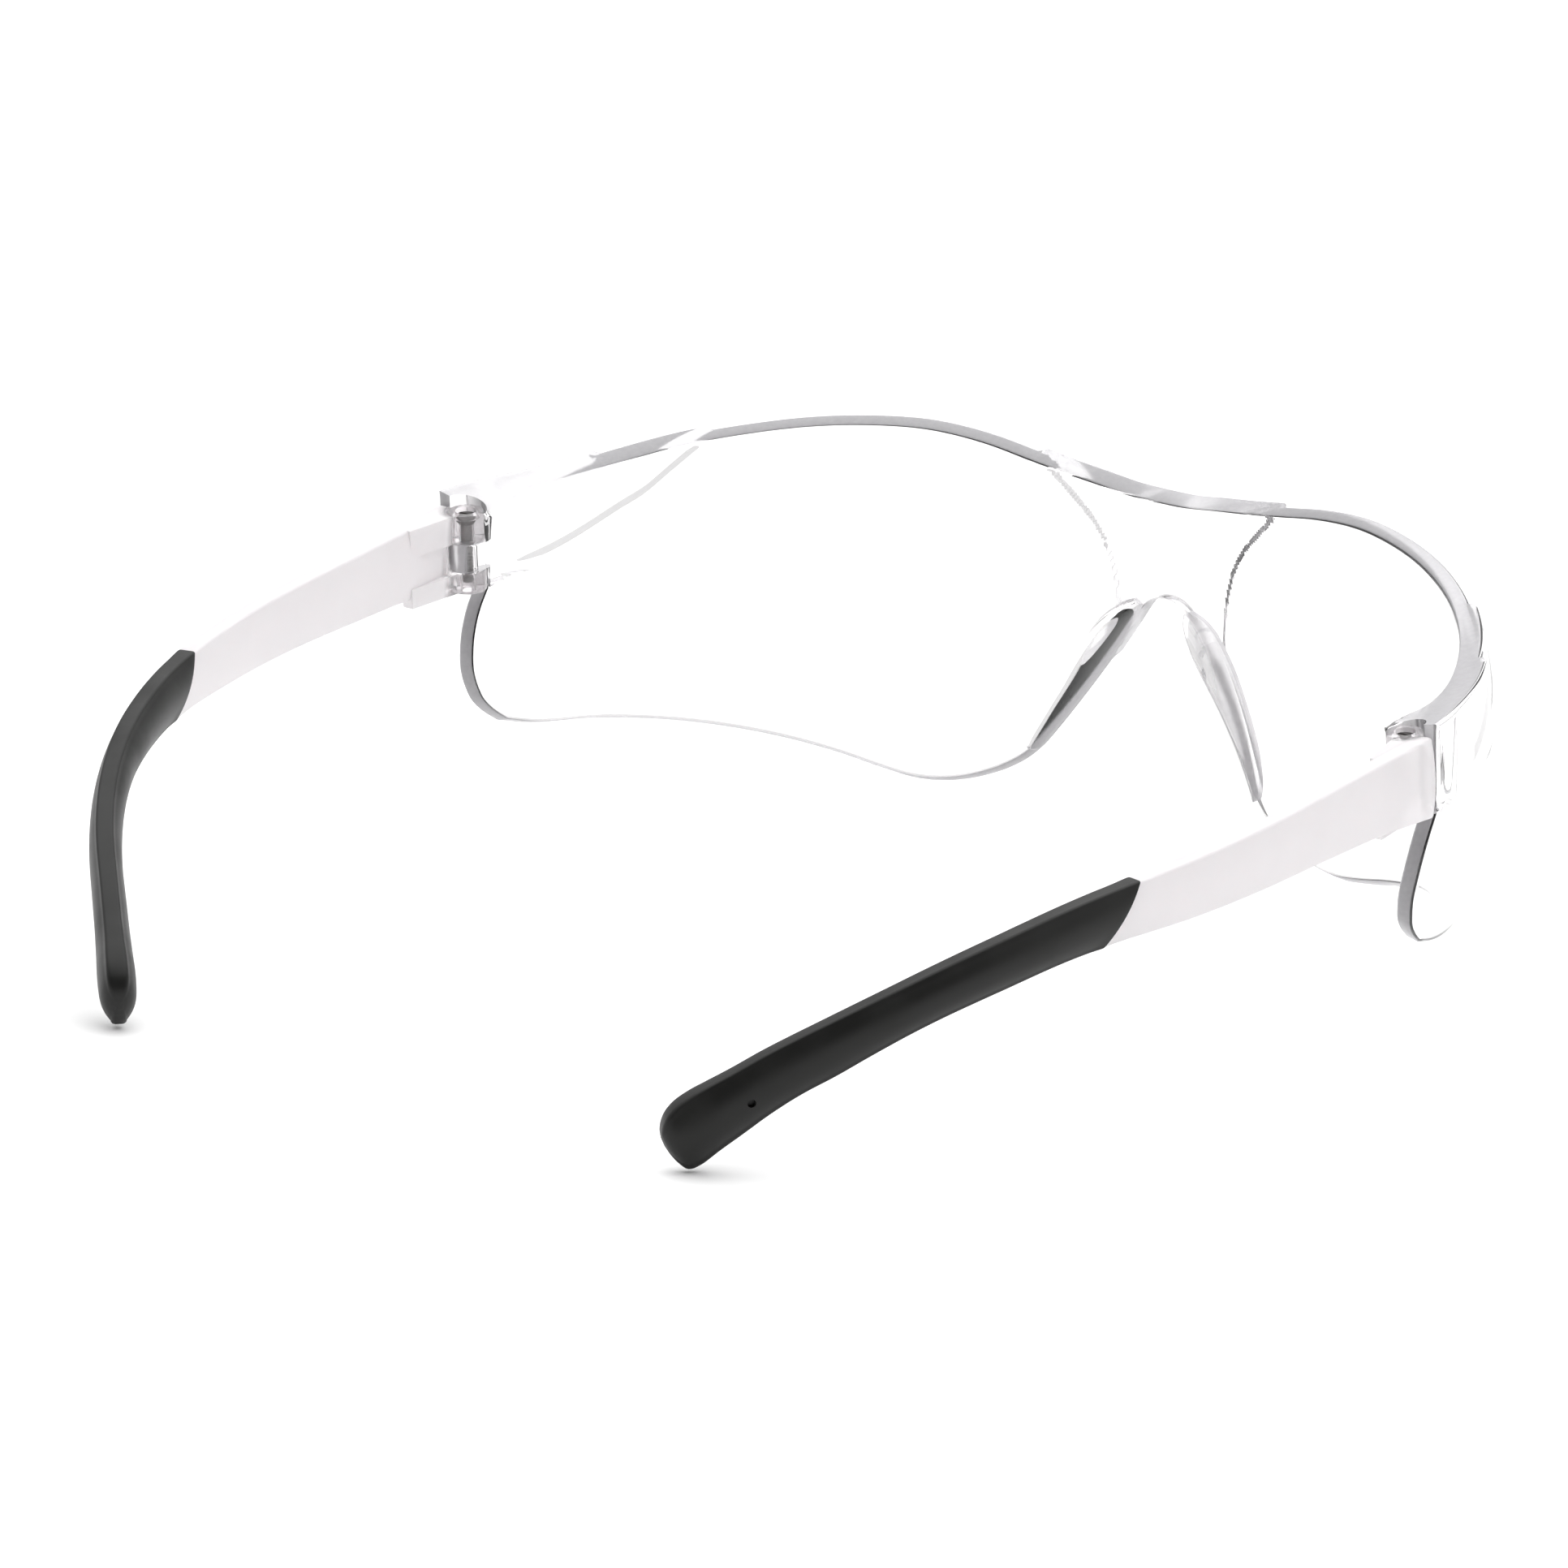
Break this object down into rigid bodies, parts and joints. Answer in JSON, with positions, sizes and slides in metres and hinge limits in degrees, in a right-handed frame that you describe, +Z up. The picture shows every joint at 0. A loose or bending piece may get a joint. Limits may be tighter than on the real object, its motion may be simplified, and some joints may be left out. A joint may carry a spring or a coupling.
{
  "type": "safety glasses",
  "caption": "Wrap-around safety glasses: clear lens with a moulded nosepiece, frosted side arms on screw hinges and rubber grips behind the ears.",
  "frame": {"origin": "middle of the open glasses' footprint, on the table they rest on", "axes": "+X to the wearer's right, +Y forward out through the lens, +Z up from the table"},
  "size_m": [0.1426, 0.1544, 0.0439],
  "materials": {
    "clear_lens": "clear polished polycarbonate",
    "frosted_arm": "frosted translucent polycarbonate",
    "rubber_grip": "satin black soft rubber",
    "screw_steel": "dark machined steel"
  },
  "bodies": {
    "front": {"lens": "clear_lens"},
    "right_arm": {"right_temple": "frosted_arm", "right_temple_tip": "rubber_grip", "right_hinge_screw": "screw_steel"},
    "left_arm": {"left_temple": "frosted_arm", "left_temple_tip": "rubber_grip", "left_hinge_screw": "screw_steel"}
  },
  "joints": [
    {"name": "right_temple_hinge", "type": "hinge", "parent": "front", "child": "right_arm", "pos_m": [0.067, 0.02659, 0.0344], "axis": [0, 0.1045, -0.9945], "range_deg": [0, 90]},
    {"name": "left_temple_hinge", "type": "hinge", "parent": "front", "child": "left_arm", "pos_m": [-0.067, 0.02659, 0.0344], "axis": [0, -0.1045, 0.9945], "range_deg": [0, 74]}
  ]
}
